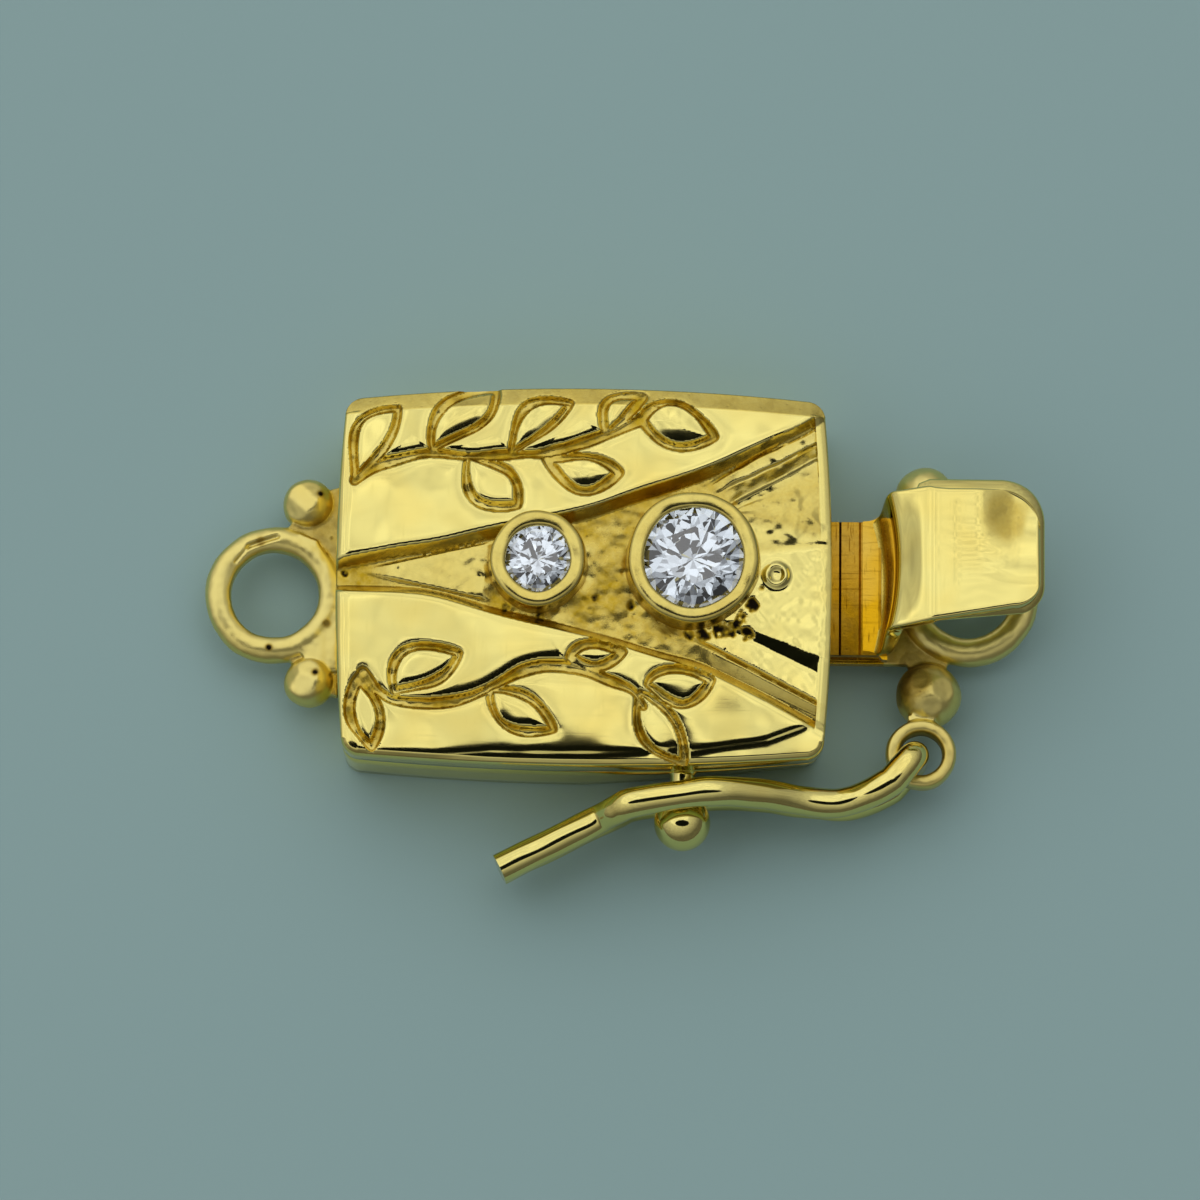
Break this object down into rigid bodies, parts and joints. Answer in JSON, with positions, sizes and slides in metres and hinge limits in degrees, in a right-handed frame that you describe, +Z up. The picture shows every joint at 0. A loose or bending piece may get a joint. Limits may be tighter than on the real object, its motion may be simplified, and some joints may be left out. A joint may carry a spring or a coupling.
{
  "type": "box clasp",
  "caption": "Small gold box clasp with a leaf-pattern cover, bezel-set clear stones, a sliding spring tongue with thumb piece, end rings and a wire safety catch over a ball peg.",
  "frame": {"origin": "centre of the case's flat underside", "axes": "+X from the end ring towards the tongue ring, the way the tongue slides out; +Y towards the back long wall, away from the safety catch; +Z up through the cover"},
  "size_m": [0.0238, 0.0139, 0.0044],
  "materials": {
    "polished_gold": "polished yellow gold with fine wear scratches",
    "cast_gold": "cast yellow gold, polished on the high parts and grainy in the recesses",
    "tongue_gold": "deep yellow gold sheet, worn satin",
    "clear_stone": "clear faceted round brilliant"
  },
  "bodies": {
    "case": {"case": "polished_gold", "cover": "cast_gold", "end_ring": "cast_gold", "safety_peg": "polished_gold", "large_stone": "clear_stone", "small_stone": "clear_stone"},
    "tongue": {"tongue_plate": "tongue_gold", "tongue_ring": "cast_gold", "hinge_ring": "cast_gold"},
    "thumb": {"spring_leaf": "tongue_gold", "thumb_piece": "polished_gold"},
    "safety": {"safety_catch": "polished_gold"}
  },
  "joints": [
    {"name": "tongue_slide", "type": "slide", "parent": "case", "child": "tongue", "axis": [1, 0, 0], "range_m": [0, 0.008]},
    {"name": "thumb_press", "type": "hinge", "parent": "tongue", "child": "thumb", "pos_m": [-0.001, 0, 0.0011], "axis": [0, 1, 0], "range_deg": [0, 3], "stiffness_Nm_per_rad": 0.24, "deforming": ["spring_leaf"]},
    {"name": "safety_swing", "type": "hinge", "parent": "tongue", "child": "safety", "pos_m": [0.00958, -0.00466, 0.0013], "axis": [0, 0, 1], "range_deg": [0, 137]}
  ],
  "couplings": [
    {"joint": "safety_swing", "follows": "tongue_slide", "rad_per_m": 296.7}
  ]
}
